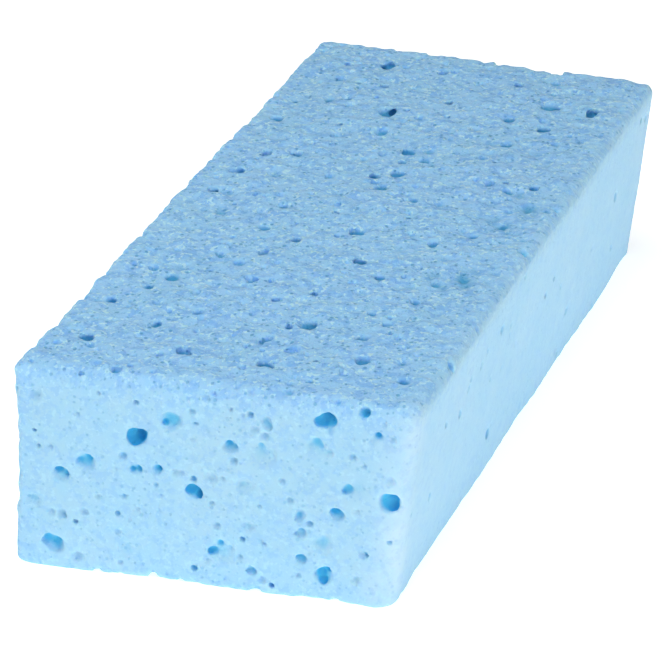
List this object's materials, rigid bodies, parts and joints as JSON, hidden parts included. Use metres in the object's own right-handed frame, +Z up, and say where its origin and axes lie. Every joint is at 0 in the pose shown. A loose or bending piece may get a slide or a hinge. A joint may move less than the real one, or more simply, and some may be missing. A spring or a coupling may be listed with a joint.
{
  "type": "cleaning sponge",
  "caption": "Plain rectangular block of light blue open foam for wiping and washing, with round pores of mixed size and softly broken edges.",
  "frame": {"origin": "on the underside, under the middle of the block's box", "axes": "+Z up through the thickness, +Y along the length away from the cut end that shows in the picture, +X across the width to that end's right"},
  "size_m": [0.0906, 0.1934, 0.049],
  "materials": {
    "foam": "dry open-celled soft foam, light blue"
  },
  "bodies": {
    "root": {"sponge": "foam"}
  },
  "joints": []
}
